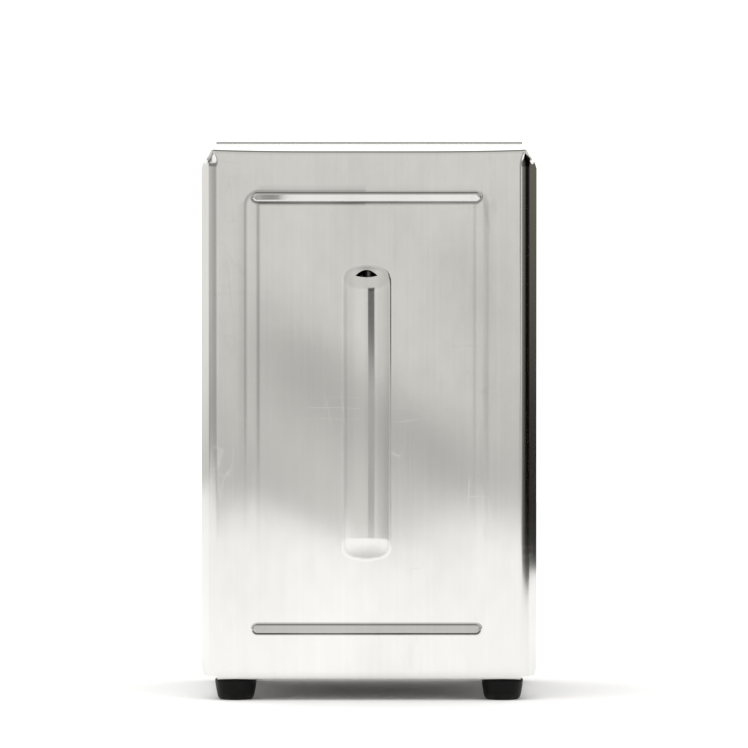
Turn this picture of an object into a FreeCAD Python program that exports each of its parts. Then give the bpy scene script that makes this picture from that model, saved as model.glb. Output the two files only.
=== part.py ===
import FreeCAD, Part
import math
import operator
import os

import Sketcher

# Two-sided tall-fold napkin dispenser, in millimetres.
# +Z is up, the rest plane is z = 0 and the origin is under the middle of the case.
# The closed panels face -Y and +Y, and the napkin openings face -X and +X.

# ---------------------------------------------------------------- driving sizes

DRIVING = (
    ("overall_height", 190.5, "rest plane to the top face"),
    ("foot_height", 7.2, "rubber foot, rest plane to the case"),
    ("case_depth", 98.0, "outer faces of the two closed panels"),
    ("panel_width", 104.6, "flat closed panel between its side bends"),
    ("top_width", 108.2, "top face between its two lips"),
    ("gauge", 0.8, "stainless sheet"),
    ("bend_radius", 2.4, "outside radius of a folded edge"),
    ("bottom_flange", 14.0, "folded flange under each closed panel"),
    ("side_bend_out", 2.8, "first slope of a side lip, outwards"),
    ("side_bend_in", 3.2, "first slope of a side lip, towards the middle"),
    ("side_lip_out", 2.7, "second slope of a side lip, outwards"),
    ("side_lip_in", 8.0, "second slope of a side lip, towards the middle"),
    ("side_lip_low", 9.5, "lower end of the side lips"),
    ("side_lip_high", 185.6, "upper end of the side lips"),
    ("lip_clip", 2.4, "clipped corner of a side lip"),
    ("end_lip_out", 2.6, "top and bottom lips, outwards"),
    ("end_lip_drop", 5.2, "top and bottom lips, up or down"),
    ("bead_width", 4.0, "pressed bead across"),
    ("bead_rise", 1.0, "pressed bead proud of its panel"),
    ("bead_side", 41.5, "outer edge of the bead from the middle"),
    ("bead_low", 22.7, "lower outer edge of the bead"),
    ("bead_high", 175.8, "upper outer edge of the bead"),
    ("bead_corner", 5.2, "outer corner radius of the bead"),
    ("channel_width", 16.0, "spring channel across"),
    ("channel_rise", 3.0, "spring channel proud of its panel"),
    ("channel_low", 49.0, "lower end of the spring channel"),
    ("channel_high", 150.0, "upper end of the spring channel"),
    ("slot_width", 7.6, "arched slot in the channel's upper end"),
    ("slot_low", 145.3, "flat lower edge of the arched slot"),
    ("slot_rise", 2.6, "height of the arched slot"),
    ("foot_across", 46.0, "foot centre from the middle, along X"),
    ("foot_back", 41.0, "foot centre from the middle, along Y"),
    ("foot_top", 14.4, "foot diameter at the case"),
    ("foot_base", 12.4, "foot diameter at the rest plane"),
    ("foot_recess", 8.0, "recess under a foot for its washer and rivet"),
    ("rivet_dia", 4.8, "blind rivet shank"),
    ("tray_width", 106.8, "base tray floor between its lips"),
    ("tray_wall", 9.0, "upturned wall of the base tray"),
    ("press_face", 54.5, "outer face of a press plate at rest, from the middle"),
    ("press_low", 14.0, "lower edge of a press plate"),
    ("press_high", 183.0, "upper edge of a press plate"),
    ("press_half", 43.5, "half width of a press plate"),
    ("press_flange", 6.0, "folded rim of a press plate"),
    ("rod_back", 44.2, "spring rod from the middle, along Y"),
    ("rod_dia", 3.5, "spring rod"),
    ("rod_clearance", 0.05, "radial clearance of the rod in its brackets"),
    ("bracket_gauge", 1.0, "rod bracket sheet"),
    ("bracket_leg", 10.0, "rod bracket, height of its welded leg"),
    ("bracket_high", 152.0, "underside of the upper rod bracket's ear"),
    ("bracket_low", 47.0, "top of the lower rod bracket's ear"),
    ("wire_dia", 1.8, "spring wire"),
    ("coil_mean", 3.4, "mean radius of the spring coils"),
    ("coil_pitch", 2.05, "spacing of the coil turns"),
    ("coil_turns", 9.0, "turns in each coil"),
    ("lower_coil", 61.0, "bottom of the lower coil"),
    ("upper_coil", 121.0, "bottom of the upper coil"),
    ("eye_gap", 1.4, "coil end to the middle of the next wire eye"),
    ("tip_reach", 52.0, "wire tip from the middle at rest, along X"),
    ("tip_radius", 86.0, "wire tip from its rod's axis"),
    ("tip_bend", 3.0, "bend radius at a wire tip"),
    ("short_tip", 13.0, "length of a free leg's bent tip"),
)

doc = FreeCAD.newDocument("napkin_dispenser")
sheet = doc.addObject("Spreadsheet::Sheet", "dims")
for row, (alias, number, note) in enumerate(DRIVING, start=1):
    sheet.set(f"A{row}", note)
    sheet.set(f"B{row}", str(number))
    sheet.setAlias(f"B{row}", alias)
doc.recompute()


class Size:
    """A number together with the sheet formula that drives it."""

    def __init__(self, number, formula):
        self.number = number
        self.formula = formula

    def __add__(self, other):
        return joined(self, "+", other, operator.add)

    def __sub__(self, other):
        return joined(self, "-", other, operator.sub)

    def __mul__(self, other):
        return joined(self, "*", other, operator.mul)

    def __truediv__(self, other):
        return joined(self, "/", other, operator.truediv)

    def __neg__(self):
        return self * -1


def plain(value):
    return value if isinstance(value, Size) else Size(float(value), f"({float(value)})")


def joined(left, sign, right, work):
    left, right = plain(left), plain(right)
    return Size(work(left.number, right.number), f"({left.formula} {sign} {right.formula})")


def dim(alias):
    return Size(float(getattr(sheet, alias)), f"dims.{alias}")


def bind(item, name, size):
    item.setExpression(name, plain(size).formula)


# ---------------------------------------------------------------- drawing helpers


def origin_item(body, role):
    return next(item for item in body.Origin.OriginFeatures if item.Role == role)


def new_body(label):
    body = doc.addObject("PartDesign::Body", label)
    body.Label = label
    return body


def new_sketch(body, role, offset=0.0):
    """A sketch on an origin plane: XY looks down, XZ has its normal along -Y, YZ along +X."""
    sketch = body.newObject("Sketcher::SketchObject", body.Name + "_sketch")
    sketch.AttachmentSupport = [(origin_item(body, role), "")]
    sketch.MapMode = "FlatFace"
    bind(sketch, "AttachmentOffset.Base.z", offset)
    return sketch


def pin(sketch, edge, end, across, up):
    for kind, size in (("DistanceX", plain(across)), ("DistanceY", plain(up))):
        index = sketch.addConstraint(Sketcher.Constraint(kind, -1, 1, edge, end, size.number))
        bind(sketch, f"Constraints[{index}]", size)


def outline(sketch, corners):
    """A closed polygon with every corner pinned to the sheet."""
    points = [FreeCAD.Vector(plain(across).number, plain(up).number, 0) for across, up in corners]
    first = sketch.GeometryCount
    for index, point in enumerate(points):
        following = points[(index + 1) % len(points)]
        sketch.addGeometry(Part.LineSegment(point, following), False)
    for index, (across, up) in enumerate(corners):
        following = first + (index + 1) % len(points)
        sketch.addConstraint(Sketcher.Constraint("Coincident", first + index, 2, following, 1))
        pin(sketch, first + index, 1, across, up)


def rounded_outline(sketch, left, right, low, high, corner):
    """A rectangle with four equal round corners, its straight runs pinned to the sheet."""
    runs = (
        ((left + corner, low), (right - corner, low), (right - corner, low + corner), -90),
        ((right, low + corner), (right, high - corner), (right - corner, high - corner), 0),
        ((right - corner, high), (left + corner, high), (left + corner, high - corner), 90),
        ((left, high - corner), (left, low + corner), (left + corner, low + corner), 180),
    )
    for begin, end, centre, turn in runs:
        ends = [FreeCAD.Vector(plain(x).number, plain(y).number, 0) for x, y in (begin, end)]
        line = sketch.addGeometry(Part.LineSegment(*ends), False)
        pin(sketch, line, 1, *begin)
        pin(sketch, line, 2, *end)
        middle = FreeCAD.Vector(plain(centre[0]).number, plain(centre[1]).number, 0)
        round_part = Part.Circle(middle, FreeCAD.Vector(0, 0, 1), plain(corner).number)
        swing = (math.radians(turn), math.radians(turn + 90))
        sketch.addGeometry(Part.ArcOfCircle(round_part, *swing), False)
    for index in range(4):
        arc = 2 * index + 1
        sketch.addConstraint(Sketcher.Constraint("Coincident", arc, 1, arc - 1, 2))
        sketch.addConstraint(Sketcher.Constraint("Coincident", arc, 2, (arc + 1) % 8, 1))
        radius = sketch.addConstraint(Sketcher.Constraint("Radius", arc, plain(corner).number))
        bind(sketch, f"Constraints[{radius}]", corner)


def circle(sketch, across, up, radius):
    middle = FreeCAD.Vector(plain(across).number, plain(up).number, 0)
    ring = Part.Circle(middle, FreeCAD.Vector(0, 0, 1), plain(radius).number)
    index = sketch.addGeometry(ring, False)
    pin(sketch, index, 3, across, up)
    size = sketch.addConstraint(Sketcher.Constraint("Radius", index, plain(radius).number))
    bind(sketch, f"Constraints[{size}]", radius)


def pad(body, sketch, length, symmetric=False, reverse=False):
    feature = body.newObject("PartDesign::Pad", body.Name + "_pad")
    feature.Profile = sketch
    feature.SideType = "Symmetric" if symmetric else "One side"
    feature.Reversed = reverse
    bind(feature, "Length", length)
    doc.recompute()
    return feature


def pocket(body, sketch, length=None, symmetric=False, reverse=False):
    """Cuts a sketch from the body and makes sure that something was removed."""
    before = body.Shape.Volume
    feature = body.newObject("PartDesign::Pocket", body.Name + "_pocket")
    feature.Profile = sketch
    feature.SideType = "Symmetric" if symmetric else "One side"
    feature.Reversed = reverse
    if length is None:
        feature.Type = "ThroughAll"
    else:
        bind(feature, "Length", length)
    doc.recompute()
    if body.Shape.Volume > before - 0.01:
        raise RuntimeError(f"{body.Label}: a pocket removed nothing")
    return feature


def turned(body, sketch):
    feature = body.newObject("PartDesign::Revolution", body.Name + "_turned")
    feature.Profile = sketch
    feature.ReferenceAxis = (origin_item(body, "Z_Axis"), [""])
    feature.Angle = 360
    doc.recompute()
    return feature


def soften(body, radius, wanted, kind="Fillet"):
    """Rounds or chamfers the edges of the body's tip for which wanted(edge) is true."""
    tip = body.Tip
    names = [f"Edge{n}" for n, edge in enumerate(tip.Shape.Edges, start=1) if wanted(edge)]
    if not names:
        raise RuntimeError(f"{body.Label}: no edge to soften")
    feature = body.newObject(f"PartDesign::{kind}", body.Name + "_" + kind.lower())
    feature.Base = (tip, names)
    bind(feature, "Radius" if kind == "Fillet" else "Size", radius)
    doc.recompute()
    return feature


def lies_along(edge, direction):
    """True for a straight edge parallel to direction."""
    if edge.Curve.TypeId != "Part::GeomLine":
        return False
    return abs(edge.Curve.Direction.dot(FreeCAD.Vector(*direction))) > 0.999


def primitive(kind, name, sizes, place=(0, 0, 0), turn=None):
    """A Part primitive with bound sizes, moved to place and turned by (axis, degrees)."""
    item = doc.addObject(f"Part::{kind}", name)
    if turn:
        item.Placement = FreeCAD.Placement(FreeCAD.Vector(), FreeCAD.Rotation(FreeCAD.Vector(*turn[0]), turn[1]))
    for key, size in sizes.items():
        bind(item, key, size)
    for axis, size in zip("xyz", place):
        bind(item, f"Placement.Base.{axis}", size)
    return item


def joint_shape(kind, name, parts):
    item = doc.addObject(f"Part::{kind}", name)
    item.Shapes = parts
    return item


def cut(name, base, tool):
    item = doc.addObject("Part::Cut", name)
    item.Base = base
    item.Tool = tool
    return item


def mirror_of(source, name, normal):
    item = doc.addObject("Part::Mirroring", name)
    item.Source = source
    item.Normal = FreeCAD.Vector(*normal)
    return item


# ---------------------------------------------------------------- shared sizes

half_depth = dim("case_depth") / 2
half_panel = dim("panel_width") / 2
half_top = dim("top_width") / 2
gauge = dim("gauge")
top = dim("overall_height")
case_low = dim("foot_height")
bend = dim("bend_radius")
wire_radius = dim("wire_dia") / 2
foot_seat = case_low * 0.55
washer_gauge = gauge + 0.1
rivet_bore = dim("rivet_dia") / 2 + 0.05
SIDES = (-1, 1)
sub_parts = {}


# ---------------------------------------------------------------- case wrap


def folded_case():
    """The wrap before pressing: two closed panels, the top, the flanges and the lips."""
    body = new_body("folded_case")
    section = new_sketch(body, "YZ_Plane")
    flange = half_depth - dim("bottom_flange")
    inside = half_depth - gauge
    shelf = case_low + gauge
    right_half = [
        (inside, top - gauge), (inside, shelf), (flange, shelf),
        (flange, case_low), (half_depth, case_low), (half_depth, top),
    ]
    left_half = [(-across, up) for across, up in reversed(right_half)]
    outline(section, right_half + left_half)
    pad(body, section, half_panel * 2, symmetric=True)

    def outer_bend(edge):
        middle = edge.CenterOfMass
        return lies_along(edge, (1, 0, 0)) and abs(abs(middle.y) - half_depth.number) < 0.01

    def inner_bend(edge):
        middle = edge.CenterOfMass
        return lies_along(edge, (1, 0, 0)) and abs(abs(middle.y) - inside.number) < 0.01

    soften(body, bend, outer_bend)
    soften(body, bend - gauge, inner_bend)
    for side in SIDES:
        add_end_lip(body, side, half_top, top, -1, half_depth - 4)
        for face in SIDES:
            add_side_lip(body, side, face)
    clip_side_lips(body)
    return body


def add_end_lip(body, side, edge, level, up, half_width):
    """A lip that slopes outwards from the end of the top face (up = -1) or tray floor (up = 1)."""
    sketch = new_sketch(body, "XZ_Plane")
    root = half_panel - 1
    reach = edge + dim("end_lip_out")
    far = level + dim("end_lip_drop") * up
    outline(sketch, [
        (root * side, level), (edge * side, level), (reach * side, far),
        ((reach - gauge * 1.12) * side, far),
        ((edge - gauge * 0.6) * side, level + gauge * up), (root * side, level + gauge * up),
    ])
    pad(body, sketch, half_width * 2, symmetric=True)


def add_side_lip(body, side, face):
    """One upright lip, folded outwards twice from the upright edge of a closed panel."""
    sketch = new_sketch(body, "XY_Plane", dim("side_lip_low"))
    fold_x = half_panel + dim("side_bend_out")
    fold_y = half_depth - dim("side_bend_in")
    tip_x = fold_x + dim("side_lip_out")
    tip_y = fold_y - dim("side_lip_in")
    outline(sketch, [
        ((half_panel - 1) * side, half_depth * face), (half_panel * side, half_depth * face),
        (fold_x * side, fold_y * face), (tip_x * side, tip_y * face),
        ((tip_x - gauge) * side, (tip_y + gauge * 0.3) * face),
        ((fold_x - gauge) * side, (fold_y - gauge * 0.45) * face),
        ((half_panel - gauge * 0.5) * side, (half_depth - gauge) * face),
        ((half_panel - 1) * side, (half_depth - gauge) * face),
    ])
    pad(body, sketch, dim("side_lip_high") - dim("side_lip_low"))


def clip_side_lips(body):
    """Clips the outer corners of the side lips at both ends."""
    sketch = new_sketch(body, "XZ_Plane")
    reach = half_panel + dim("side_bend_out") + dim("side_lip_out") + 1
    clip = dim("lip_clip") + 1
    for side in SIDES:
        for level, up in ((dim("side_lip_low"), 1), (dim("side_lip_high"), -1)):
            edge = level - gauge * 0.2 * up
            corners = [(reach * side, edge), ((reach - clip) * side, edge), (reach * side, edge + clip * up)]
            outline(sketch, corners)
    pocket(body, sketch, symmetric=True)


def pressed_forms(name, shrink):
    """The bead ring and the spring channel of the -Y panel, as solids shrunk by the sheet."""
    half_bead = dim("bead_width") / 2
    bead_radius = (half_bead * half_bead + dim("bead_rise") * dim("bead_rise")) / (dim("bead_rise") * 2)
    bead_y = half_depth + dim("bead_rise") - bead_radius
    ring = new_body(name + "_bead")
    path = new_sketch(ring, "XZ_Plane", bead_y)
    side = dim("bead_side") - half_bead
    low, high = dim("bead_low") + half_bead, dim("bead_high") - half_bead
    rounded_outline(path, side * -1, side, low, high, dim("bead_corner") - half_bead)
    section = new_sketch(ring, "XY_Plane", (low + high) / 2)
    circle(section, side, bead_y * -1, bead_radius - shrink)
    pipe = ring.newObject("PartDesign::AdditivePipe", name + "_pipe")
    pipe.Profile = section
    pipe.Spine = (path, [f"Edge{n}" for n in range(1, 9)])

    half_channel = dim("channel_width") / 2
    rise = dim("channel_rise")
    channel_radius = (half_channel * half_channel + rise * rise) / (rise * 2)
    channel_y = (half_depth + rise - channel_radius) * -1
    low, high = dim("channel_low") + half_channel, dim("channel_high") - half_channel
    size = channel_radius - shrink
    run = {"Radius": size, "Height": high - low}
    tube = primitive("Cylinder", name + "_tube", run, (0, channel_y, low))
    ends = [
        primitive("Sphere", f"{name}_end_{n}", {"Radius": size}, (0, channel_y, level))
        for n, level in enumerate((low, high))
    ]
    return joint_shape("MultiFuse", name, [ring, tube, *ends])


def channel_slot():
    """The arched slot through the upper end of the spring channel."""
    body = new_body("channel_slot")
    sketch = new_sketch(body, "XZ_Plane", half_depth - gauge * 2)
    half_slot = dim("slot_width") / 2
    low, high = dim("slot_low"), dim("slot_low") + dim("slot_rise")
    shoulder = high - dim("slot_rise") * 0.35
    outline(sketch, [
        (half_slot * -1, low), (half_slot, low), (half_slot * 0.82, shoulder),
        (half_slot * 0.35, high), (half_slot * -0.35, high), (half_slot * -0.82, shoulder),
    ])
    pad(body, sketch, dim("channel_rise") * 2)
    return body


def foot_places():
    return [(side, face) for face in SIDES for side in SIDES]


def rivet_holes(name):
    sizes = {"Radius": rivet_bore, "Height": gauge * 6}
    level = case_low - gauge * 2
    return [
        primitive("Cylinder", f"{name}_{n}", sizes, (dim("foot_across") * side, dim("foot_back") * face, level))
        for n, (side, face) in enumerate(foot_places())
    ]


def make_case_wrap():
    reach = dim("panel_width")
    outside = primitive(
        "Box", "outside_front_panel",
        {"Length": reach, "Width": dim("channel_rise") * 2 + gauge, "Height": top},
        (half_panel * -1, (half_depth + dim("channel_rise") * 2) * -1, 0),
    )
    raised_front = joint_shape("MultiCommon", "raised_front", [pressed_forms("raised_form", 0), outside])
    raised_back = mirror_of(raised_front, "raised_back", (0, 1, 0))
    hollow_front = joint_shape("MultiFuse", "hollow_front", [pressed_forms("hollow_form", gauge), channel_slot()])
    hollow_back = mirror_of(hollow_front, "hollow_back", (0, 1, 0))
    solid = joint_shape("MultiFuse", "case_solid", [folded_case(), raised_front, raised_back])
    holes = rivet_holes("wrap_hole")
    tools = joint_shape("MultiFuse", "case_tools", [hollow_front, hollow_back, *holes])
    sub_parts["case_wrap"] = cut("case_wrap", solid, tools)


# ---------------------------------------------------------------- base tray


def make_base_tray():
    body = new_body("tray_form")
    floor_low = case_low + gauge
    floor = new_sketch(body, "XY_Plane", floor_low)
    inside = half_depth - gauge
    edge = dim("tray_width") / 2
    half_floor = inside - bend
    outline(floor, [(edge * -1, half_floor * -1), (edge, half_floor * -1), (edge, half_floor), (edge * -1, half_floor)])
    pad(body, floor, gauge)
    wall = new_sketch(body, "YZ_Plane")
    high = floor_low + dim("tray_wall")
    for face in SIDES:
        outline(wall, [
            ((half_floor - 1) * face, floor_low), ((inside - bend * 0.7) * face, floor_low),
            (inside * face, floor_low + bend * 0.7), (inside * face, high), ((inside - gauge) * face, high),
            ((inside - gauge) * face, floor_low + bend * 0.8), ((half_floor - 1) * face, floor_low + gauge),
        ])
    pad(body, wall, (half_panel - 3) * 2, symmetric=True)
    for side in SIDES:
        add_end_lip(body, side, edge, floor_low, 1, half_depth - 14)
    holes = joint_shape("MultiFuse", "tray_holes", rivet_holes("tray_hole"))
    sub_parts["base_tray"] = cut("base_tray", body, holes)


# ---------------------------------------------------------------- feet and rivets


def placed(body, across, along):
    bind(body, "Placement.Base.x", across)
    bind(body, "Placement.Base.y", along)
    return body


def make_foot(label):
    """A tapered rubber foot, recessed from below for its washer and rivet."""
    body = new_body(label)
    sketch = new_sketch(body, "XZ_Plane")
    recess = dim("foot_recess") / 2
    outline(sketch, [
        (recess, 0), (dim("foot_base") / 2 - 1.2, 0), (dim("foot_base") / 2, 0.9),
        (dim("foot_top") / 2, case_low), (rivet_bore, case_low), (rivet_bore, foot_seat), (recess, foot_seat),
    ])
    turned(body, sketch)
    return body


def make_washer(name):
    body = new_body(name)
    sketch = new_sketch(body, "XZ_Plane")
    rim, low = dim("foot_recess") / 2 - 0.1, foot_seat - washer_gauge
    outline(sketch, [(rivet_bore, low), (rim, low), (rim, foot_seat), (rivet_bore, foot_seat)])
    turned(body, sketch)
    return body


def make_rivet(name):
    """A closed blind rivet: flanged head below the washer, set bulb above the tray floor."""
    body = new_body(name)
    sketch = new_sketch(body, "XZ_Plane")
    under = foot_seat - washer_gauge
    floor = case_low + gauge * 2
    shank, head, bulb, core = dim("rivet_dia") / 2, 3.6, 3.3, 1.1
    outline(sketch, [
        (core, under - 1.3), (head * 0.55, under - 1.3), (head, under - 0.5), (head, under), (shank, under),
        (shank, floor), (bulb, floor), (bulb, floor + 1.2), (bulb * 0.7, floor + 1.9), (core, floor + 1.9),
    ])
    turned(body, sketch)
    return body


def make_feet():
    names = {(-1, -1): "front_left", (1, -1): "front_right", (-1, 1): "back_left", (1, 1): "back_right"}
    washers, rivets = [], []
    for side, face in foot_places():
        across, along = dim("foot_across") * side, dim("foot_back") * face
        label = f"{names[side, face]}_foot"
        sub_parts[label] = placed(make_foot(label), across, along)
        washers.append(placed(make_washer(f"{label}_washer"), across, along))
        rivets.append(placed(make_rivet(f"{label}_rivet"), across, along))
    for label, parts in (("foot_washers", washers), ("foot_rivets", rivets)):
        group = doc.addObject("Part::Compound", label)
        group.Links = parts
        sub_parts[label] = group


# ---------------------------------------------------------------- press plates


def make_press_plates():
    """A rimmed plate with a raised pad, and its mirror image."""
    body = new_body("right_press_plate")
    face = dim("press_face")
    half, low, high = dim("press_half"), dim("press_low"), dim("press_high")
    back = new_sketch(body, "YZ_Plane", face - dim("press_flange"))
    rounded_outline(back, half * -1, half, low, high, bend * 1.5)
    pad(body, back, dim("press_flange"))
    soften(body, bend * 0.6, lambda edge: abs(edge.BoundBox.XMin - face.number) < 0.01)
    hollow = new_sketch(body, "YZ_Plane", face - gauge)
    rounded_outline(hollow, gauge - half, half - gauge, low + gauge, high - gauge, bend * 1.5 - gauge)
    pocket(body, hollow, dim("press_flange"))
    pad_half, pad_low, pad_high = half * 0.42, low + 18, high - 18
    raised = new_sketch(body, "YZ_Plane", face - gauge)
    rounded_outline(raised, pad_half * -1, pad_half, pad_low, pad_high, bend * 2)
    pad(body, raised, gauge + 1)
    inner = new_sketch(body, "YZ_Plane", face + (1 - gauge.number))
    rounded_outline(
        inner, gauge - pad_half, pad_half - gauge, pad_low + gauge, pad_high - gauge, bend * 2 - gauge
    )
    pocket(body, inner, 1.5)
    sub_parts["right_press_plate"] = body
    sub_parts["left_press_plate"] = mirror_of(body, "left_press_plate", (1, 0, 0))


# ---------------------------------------------------------------- spring rods and brackets


def make_rod(name, face):
    """The upright spring rod with a formed head above the upper bracket, and its push-on ring."""
    radius = dim("rod_dia") / 2
    along = dim("rod_back") * face
    ear = dim("bracket_gauge")
    low = dim("bracket_low") - ear - 3.5
    seat = dim("bracket_high") + ear
    shaft = primitive("Cylinder", f"{name}_shaft", {"Radius": radius, "Height": seat - low}, (0, along, low))
    head_sizes = {"Radius1": radius * 1.6, "Radius2": radius * 1.2, "Height": 1.6}
    head = primitive("Cone", f"{name}_head", head_sizes, (0, along, seat))
    sub_parts[f"{name}_rod"] = joint_shape("MultiFuse", f"{name}_rod", [shaft, head])
    level = dim("bracket_low") - ear - 1.2
    rim = primitive("Cylinder", f"{name}_rim", {"Radius": radius * 1.6, "Height": 1.0}, (0, along, level))
    bore = primitive("Cylinder", f"{name}_bore", {"Radius": radius, "Height": 3.0}, (0, along, level - 1))
    sub_parts[f"{name}_rod_ring"] = cut(f"{name}_rod_ring", rim, bore)


def make_bracket(label, face, ear_side, up):
    """An angle welded inside a closed panel. up = 1 has its leg above the ear, and -1 below."""
    body = new_body(label)
    sketch = new_sketch(body, "YZ_Plane")
    wall = half_depth - gauge
    thick = dim("bracket_gauge")
    reach = dim("rod_back") - 5.0
    far = ear_side + dim("bracket_leg") * up
    outline(sketch, [
        (wall * face, ear_side), (wall * face, far), ((wall - thick) * face, far),
        ((wall - thick) * face, ear_side + thick * up), (reach * face, ear_side + thick * up), (reach * face, ear_side),
    ])
    pad(body, sketch, 16.0, symmetric=True)
    hole = new_sketch(body, "XY_Plane")
    circle(hole, 0, dim("rod_back") * face, dim("rod_dia") / 2 + dim("rod_clearance"))
    pocket(body, hole, reverse=True)
    soften(body, 2.5, lambda edge: lies_along(edge, (0, 0, 1)) and abs(abs(edge.CenterOfMass.y) - reach.number) < 0.01)
    sub_parts[label] = body


# ---------------------------------------------------------------- torsion springs


def make_coils(name, face):
    """The two close-wound coils of one double torsion spring, threaded on its rod."""
    parts = []
    for which, low in (("lower", dim("lower_coil")), ("upper", dim("upper_coil"))):
        helix = doc.addObject("Part::Helix", f"{name}_{which}_helix")
        bind(helix, "Pitch", dim("coil_pitch"))
        bind(helix, "Height", dim("coil_pitch") * dim("coil_turns"))
        bind(helix, "Radius", dim("coil_mean"))
        section = doc.addObject("Part::Circle", f"{name}_{which}_section")
        section.Placement.Rotation = FreeCAD.Rotation(FreeCAD.Vector(1, 0, 0), 90)
        bind(section, "Radius", wire_radius)
        bind(section, "Placement.Base.x", dim("coil_mean"))
        coil = doc.addObject("Part::Sweep", f"{name}_{which}_coil")
        coil.Sections = [section]
        coil.Spine = (helix, ["Edge1"])
        coil.Solid = True
        coil.Frenet = True
        bind(coil, "Placement.Base.y", dim("rod_back") * face)
        bind(coil, "Placement.Base.z", low + wire_radius)
        parts.append(coil)
    group = doc.addObject("Part::Compound", f"{name}_spring_coils")
    group.Links = parts
    sub_parts[f"{name}_spring_coils"] = group


def wire_leg(face, side, eye_level, end_level):
    """One spring leg: an eye round the rod, a straight arm and a tip bent up or down."""
    ring = dim("coil_mean").number
    reach = dim("tip_radius").number
    arm = math.sqrt(reach * reach - ring * ring)
    bend_size = dim("tip_bend").number
    aim = math.acos(dim("tip_reach").number / reach) + math.asin(ring / reach)
    up = 1 if end_level > eye_level else -1

    def place(turn, out, level):
        """A point out from the rod, first drawn for the front right leg and then mirrored."""
        x = math.cos(turn) * out
        y = math.sin(turn) * out
        return FreeCAD.Vector(side * x, face * (dim("rod_back").number - y), level)

    def on_arm(distance, level):
        x = math.cos(aim) * distance + math.sin(aim) * ring
        y = math.sin(aim) * distance - math.cos(aim) * ring
        return FreeCAD.Vector(side * x, face * (dim("rod_back").number - y), level)

    start = aim - math.pi / 2
    eye = [place(start - swing, ring, eye_level) for swing in (math.radians(330), math.radians(165), 0.0)]
    corner = bend_size * (1 - math.sqrt(0.5))
    edges = [
        Part.Arc(*eye).toShape(),
        Part.LineSegment(on_arm(0, eye_level), on_arm(arm - bend_size, eye_level)).toShape(),
        Part.Arc(
            on_arm(arm - bend_size, eye_level),
            on_arm(arm - corner, eye_level + up * corner),
            on_arm(arm, eye_level + up * bend_size),
        ).toShape(),
        Part.LineSegment(on_arm(arm, eye_level + up * bend_size), on_arm(arm, end_level)).toShape(),
    ]
    path = Part.Wire(edges)
    section = Part.Wire(Part.Circle(on_arm(arm, end_level), FreeCAD.Vector(0, 0, 1), wire_radius.number).toShape())
    return path.makePipeShell([section], True, False)


def make_legs(label, face, side, levels, joined_tips):
    """The lower and upper legs of one spring that bear on the same press plate."""
    low, high = levels
    middle = (low + high) / 2
    tips = (middle, middle) if joined_tips else (low + dim("short_tip").number, high - dim("short_tip").number)
    legs = [wire_leg(face, side, level, tip) for level, tip in zip(levels, tips)]
    item = doc.addObject("Part::Feature", label)
    item.Shape = legs[0].fuse(legs[1]).removeSplitter() if joined_tips else Part.makeCompound(legs)
    sub_parts[label] = item


def make_springs():
    """The back spring is the front one turned half round, so that their legs cross at different levels."""
    coil_height = dim("coil_pitch").number * dim("coil_turns").number + dim("wire_dia").number
    gap = dim("eye_gap").number
    outer = (dim("lower_coil").number - gap, dim("upper_coil").number + coil_height + gap)
    inner = (dim("lower_coil").number + coil_height + gap, dim("upper_coil").number - gap)
    for name, face, free_side in (("front", -1, 1), ("back", 1, -1)):
        make_rod(name, face)
        ear = dim("bracket_high")
        make_bracket(f"{name}_upper_bracket", face, ear, 1)
        make_bracket(f"{name}_lower_bracket", face, dim("bracket_low"), -1)
        make_coils(name, face)
        for side in SIDES:
            side_name = "right" if side == 1 else "left"
            if side == free_side:
                make_legs(f"{name}_{side_name}_legs", face, side, outer, False)
            else:
                make_legs(f"{name}_{side_name}_bail", face, side, inner, True)


# ---------------------------------------------------------------- build and export


def check_document():
    doc.recompute()
    for item in doc.Objects:
        if {"Invalid", "Error"} & set(item.State):
            raise RuntimeError(f"{item.Label} did not compute: {item.State}")
    for label, item in sub_parts.items():
        shape = item.Shape
        if shape.isNull() or not shape.isValid() or not shape.Solids:
            raise RuntimeError(f"{label} is not a sound solid")
        box = shape.BoundBox
        print(f"{label:22} {len(shape.Solids)} solid(s) {shape.Volume:9.1f} mm3 "
              f"x {box.XMin:6.1f} {box.XMax:6.1f}  y {box.YMin:6.1f} {box.YMax:6.1f}  z {box.ZMin:6.1f} {box.ZMax:6.1f}")


make_case_wrap()
make_base_tray()
make_feet()
make_press_plates()
make_springs()
check_document()
os.makedirs("parts", exist_ok=True)
for node, item in sub_parts.items():
    item.Shape.exportStep(f"parts/{node}.step")
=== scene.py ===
"""A two-sided tabletop napkin dispenser in thin stainless sheet, on four rubber feet."""

import math

import bpy
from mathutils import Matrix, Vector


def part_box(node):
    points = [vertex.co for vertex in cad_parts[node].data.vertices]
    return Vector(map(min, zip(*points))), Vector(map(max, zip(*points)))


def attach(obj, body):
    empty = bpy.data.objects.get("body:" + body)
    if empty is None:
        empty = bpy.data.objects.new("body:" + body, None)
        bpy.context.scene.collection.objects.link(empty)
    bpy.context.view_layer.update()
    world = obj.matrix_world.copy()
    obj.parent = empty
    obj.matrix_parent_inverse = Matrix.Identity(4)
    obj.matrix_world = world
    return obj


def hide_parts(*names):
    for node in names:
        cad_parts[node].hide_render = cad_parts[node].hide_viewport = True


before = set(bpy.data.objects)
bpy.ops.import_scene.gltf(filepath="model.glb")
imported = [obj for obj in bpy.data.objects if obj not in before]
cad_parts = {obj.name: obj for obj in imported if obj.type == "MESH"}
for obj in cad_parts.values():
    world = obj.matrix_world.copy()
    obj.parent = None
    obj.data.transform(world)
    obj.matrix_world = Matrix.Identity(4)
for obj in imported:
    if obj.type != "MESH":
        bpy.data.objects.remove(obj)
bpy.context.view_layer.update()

MM = 0.001

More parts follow.
